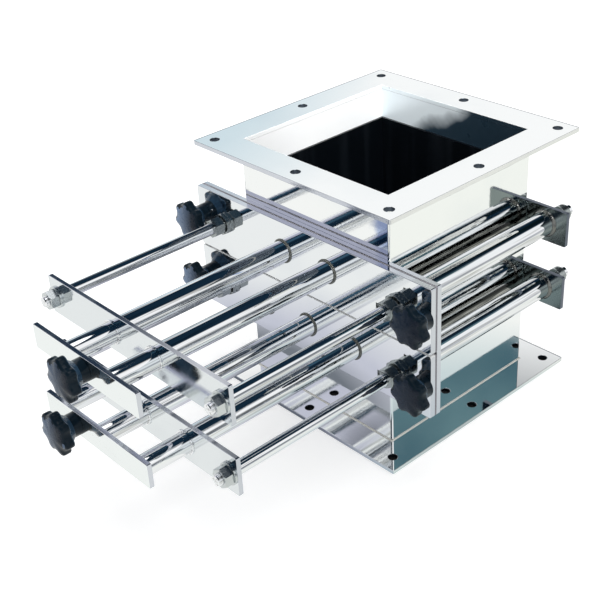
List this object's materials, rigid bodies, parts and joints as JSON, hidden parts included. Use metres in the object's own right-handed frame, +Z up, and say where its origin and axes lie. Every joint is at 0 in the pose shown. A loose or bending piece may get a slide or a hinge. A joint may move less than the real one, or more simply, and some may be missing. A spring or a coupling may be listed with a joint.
{
  "type": "drawer magnet",
  "caption": "Flanged square chute with tiers of pull-out magnet tubes on guide rods, which catch iron from product that falls through it.",
  "frame": {"origin": "centre of the bottom flange's underside, on the axis of the chute", "axes": "+X to the right seen from the knobs, +Y to the back, away from the knobs, +Z up the chute"},
  "size_m": [0.395, 0.5995, 0.305],
  "materials": {
    "polished_steel": "mirror polished stainless steel",
    "core_steel": "polished stainless tube filled with magnets",
    "liner_steel": "dark polished wear sheet",
    "knob_plastic": "black, glossy, moulded",
    "gasket_rubber": "dark grey food grade rubber",
    "wiper_plastic": "pale, smooth",
    "bush_plastic": "dark, smooth"
  },
  "bodies": {
    "housing": {"back_liner": "liner_steel", "back_wall": "polished_steel", "bottom_flange": "polished_steel", "clamp_studs": "polished_steel", "frame_plate": "polished_steel", "front_liner": "liner_steel", "front_wall": "polished_steel", "gland_bodies": "polished_steel", "gland_nuts": "polished_steel", "left_liner": "liner_steel", "left_wall": "polished_steel", "lower_cover": "polished_steel", "lower_gasket": "gasket_rubber", "lower_left_guide_tube": "polished_steel", "lower_rear_strap": "polished_steel", "lower_right_guide_tube": "polished_steel", "rear_bushes": "bush_plastic", "right_liner": "liner_steel", "right_wall": "polished_steel", "top_flange": "polished_steel", "upper_cover": "polished_steel", "upper_gasket": "gasket_rubber", "upper_left_guide_tube": "polished_steel", "upper_rear_strap": "polished_steel", "upper_right_guide_tube": "polished_steel", "wiper_rings": "wiper_plastic"},
    "lower_drawer": {"lower_inner_strap": "polished_steel", "lower_left_guide_rod": "polished_steel", "lower_right_guide_rod": "polished_steel", "lower_rod_nuts": "polished_steel", "lower_rod_washers": "polished_steel", "lower_sleeve_1": "polished_steel", "lower_sleeve_2": "polished_steel", "lower_sleeve_3": "polished_steel", "lower_stop_collars": "polished_steel"},
    "lower_left_clamp_knob": {"lower_left_clamp_knob": "knob_plastic"},
    "lower_core_carrier": {"lower_magnet_core_1": "core_steel", "lower_magnet_core_2": "core_steel", "lower_magnet_core_3": "core_steel", "lower_outer_strap": "polished_steel", "lower_pull_knob": "knob_plastic", "lower_pull_screw": "polished_steel"},
    "lower_right_clamp_knob": {"lower_right_clamp_knob": "knob_plastic"},
    "upper_drawer": {"upper_inner_strap": "polished_steel", "upper_left_guide_rod": "polished_steel", "upper_right_guide_rod": "polished_steel", "upper_rod_nuts": "polished_steel", "upper_rod_washers": "polished_steel", "upper_sleeve_1": "polished_steel", "upper_sleeve_2": "polished_steel", "upper_stop_collars": "polished_steel"},
    "upper_left_clamp_knob": {"upper_left_clamp_knob": "knob_plastic"},
    "upper_core_carrier": {"upper_magnet_core_1": "core_steel", "upper_magnet_core_2": "core_steel", "upper_outer_strap": "polished_steel", "upper_pull_knob": "knob_plastic", "upper_pull_screw": "polished_steel"},
    "upper_right_clamp_knob": {"upper_right_clamp_knob": "knob_plastic"}
  },
  "joints": [
    {"name": "upper_drawer_slide", "type": "slide", "parent": "housing", "child": "upper_drawer", "axis": [0, 1, 0], "range_m": [-0.0215, 0.2015]},
    {"name": "upper_core_slide", "type": "slide", "parent": "upper_drawer", "child": "upper_core_carrier", "axis": [0, 1, 0], "range_m": [-0.17, 0.05]},
    {"name": "lower_drawer_slide", "type": "slide", "parent": "housing", "child": "lower_drawer", "axis": [0, 1, 0], "range_m": [-0.0215, 0.2015]},
    {"name": "lower_core_slide", "type": "slide", "parent": "lower_drawer", "child": "lower_core_carrier", "axis": [0, 1, 0], "range_m": [-0.17, 0.05]},
    {"name": "upper_left_knob_turn", "type": "hinge", "parent": "housing", "child": "upper_left_clamp_knob", "pos_m": [-0.174, -0.128, 0.198], "axis": [0, -1, 0], "range_deg": [0, 360]},
    {"name": "upper_right_knob_turn", "type": "hinge", "parent": "housing", "child": "upper_right_clamp_knob", "pos_m": [0.174, -0.128, 0.198], "axis": [0, -1, 0], "range_deg": [0, 360]},
    {"name": "lower_left_knob_turn", "type": "hinge", "parent": "housing", "child": "lower_left_clamp_knob", "pos_m": [-0.174, -0.128, 0.117], "axis": [0, -1, 0], "range_deg": [0, 360]},
    {"name": "lower_right_knob_turn", "type": "hinge", "parent": "housing", "child": "lower_right_clamp_knob", "pos_m": [0.174, -0.128, 0.117], "axis": [0, -1, 0], "range_deg": [0, 360]}
  ]
}
